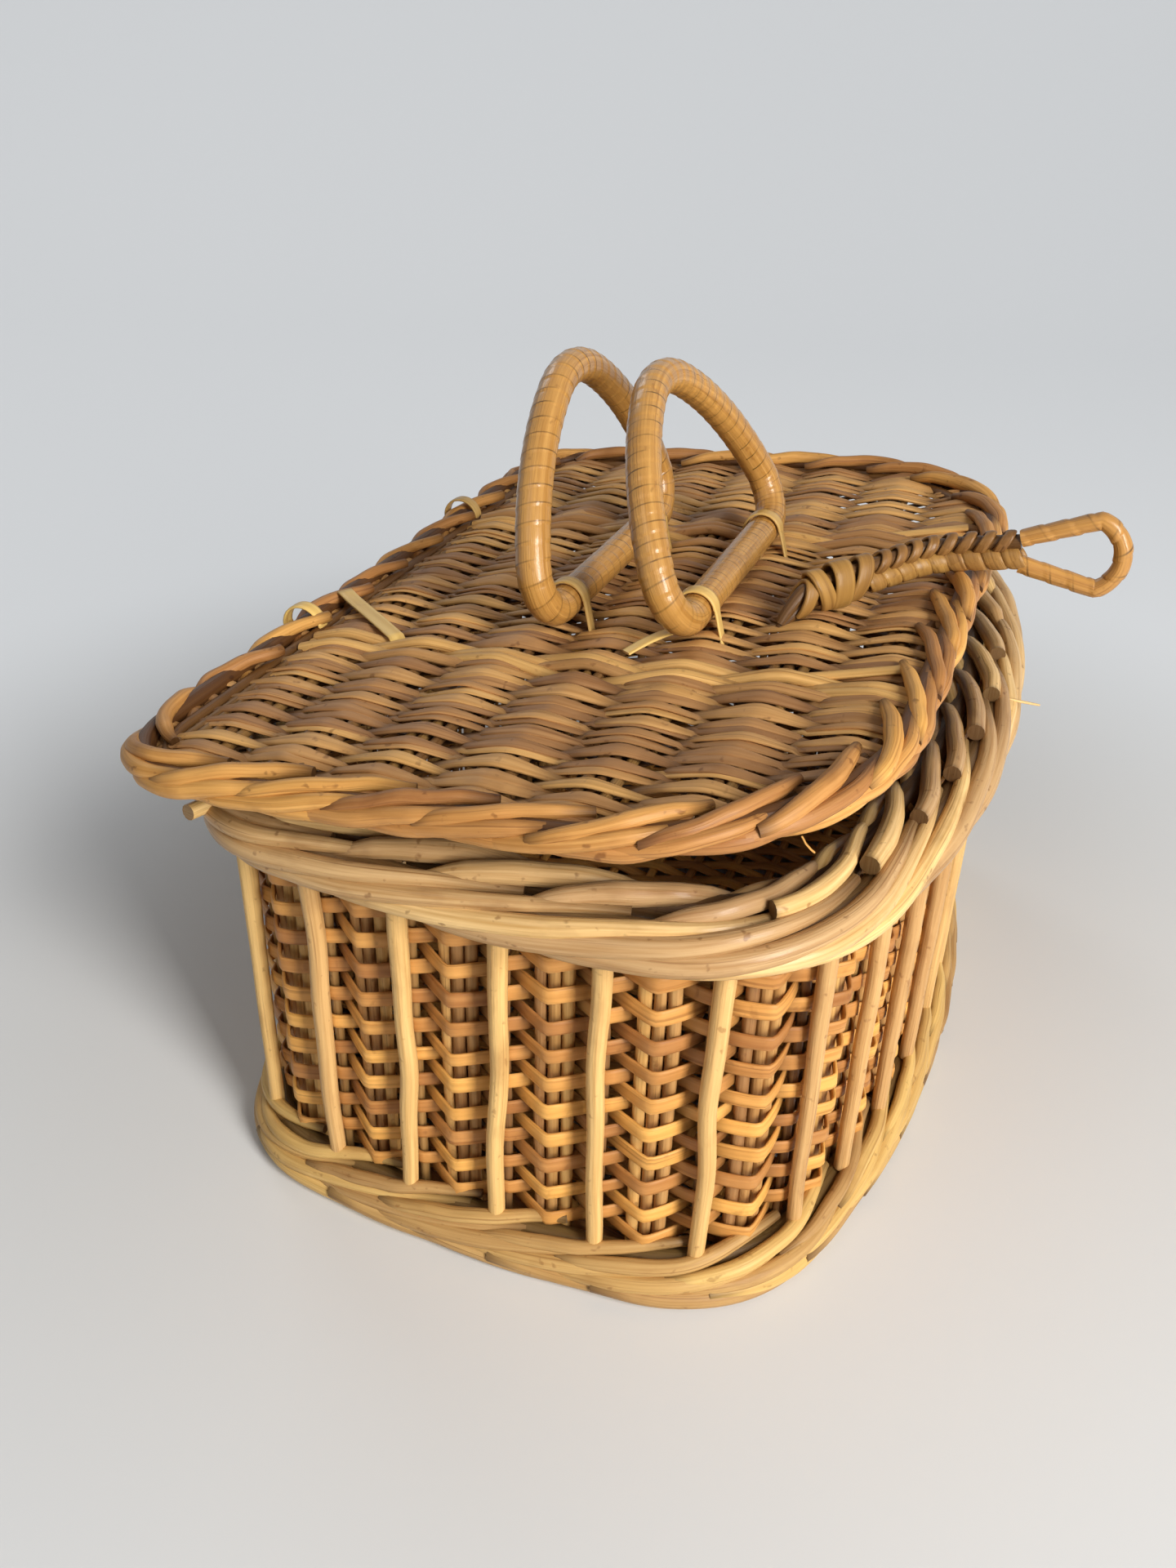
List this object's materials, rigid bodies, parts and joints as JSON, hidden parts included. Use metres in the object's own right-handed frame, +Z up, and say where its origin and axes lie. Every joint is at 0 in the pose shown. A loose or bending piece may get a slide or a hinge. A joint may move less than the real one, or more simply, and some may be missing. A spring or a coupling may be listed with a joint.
{
  "type": "wicker basket",
  "caption": "Small oblong wicker basket with a hinged flat lid, wrapped handles that fold on the lid, and a wrapped closure loop at the front.",
  "frame": {"origin": "on the floor under the middle of the basket", "axes": "+X along the basket's length, -Y to the closure at the front, +Z up"},
  "size_m": [0.341, 0.2686, 0.239],
  "materials": {
    "split_cane": "satin",
    "foot_willow": "satin",
    "wall_stick": "satin",
    "pale_willow": "satin",
    "rim_willow": "satin",
    "pale_cane": "satin",
    "lid_willow": "satin",
    "caramel_wrap": "gloss"
  },
  "bodies": {
    "basket": {"base_weave": "split_cane", "foot_outer_rod": "foot_willow", "foot_inner_rod": "foot_willow", "foot_upper_rod": "foot_willow", "wall_sticks": "wall_stick", "by_stakes": "wall_stick", "outer_stakes": "pale_willow", "over_strips": "split_cane", "under_strips": "split_cane", "rim_outer_rod": "rim_willow", "rim_crown_rod": "rim_willow", "rim_inner_rod": "rim_willow", "hinge_ties": "pale_cane"},
    "lid": {"lid_border": "rim_willow", "lid_hinge_rod": "rim_willow", "lid_sticks": "wall_stick", "lid_near_weave": "lid_willow", "lid_middle_weave": "lid_willow", "lid_far_weave": "lid_willow", "near_pairing_rods": "pale_willow", "far_pairing_rods": "pale_willow", "front_handle_ties": "pale_cane", "back_handle_ties": "pale_cane", "hasp_strands": "caramel_wrap", "hasp_binding": "caramel_wrap", "hasp_root_tie": "pale_cane"},
    "front_handle": {"front_handle_core": "wall_stick", "front_handle_wrap": "caramel_wrap"},
    "back_handle": {"back_handle_core": "wall_stick", "back_handle_wrap": "caramel_wrap"},
    "hasp_loop": {"hasp_loop": "caramel_wrap"}
  },
  "joints": [
    {"name": "lid_hinge", "type": "hinge", "parent": "basket", "child": "lid", "pos_m": [0, 0.1086, 0.1526], "axis": [-1, 0, 0], "range_deg": [-5.8, 100]},
    {"name": "front_handle_swing", "type": "hinge", "parent": "lid", "child": "front_handle", "pos_m": [0, -0.02254, 0.17367], "axis": [-1, 0, 0], "range_deg": [-92, 4]},
    {"name": "back_handle_swing", "type": "hinge", "parent": "lid", "child": "back_handle", "pos_m": [0, 0.02123, 0.16922], "axis": [-1, 0, 0], "range_deg": [-10, 74]},
    {"name": "hasp_loop_bend", "type": "hinge", "parent": "lid", "child": "hasp_loop", "pos_m": [0.015, -0.10725, 0.18802], "axis": [-1, 0, 0], "range_deg": [-26, 48]}
  ]
}
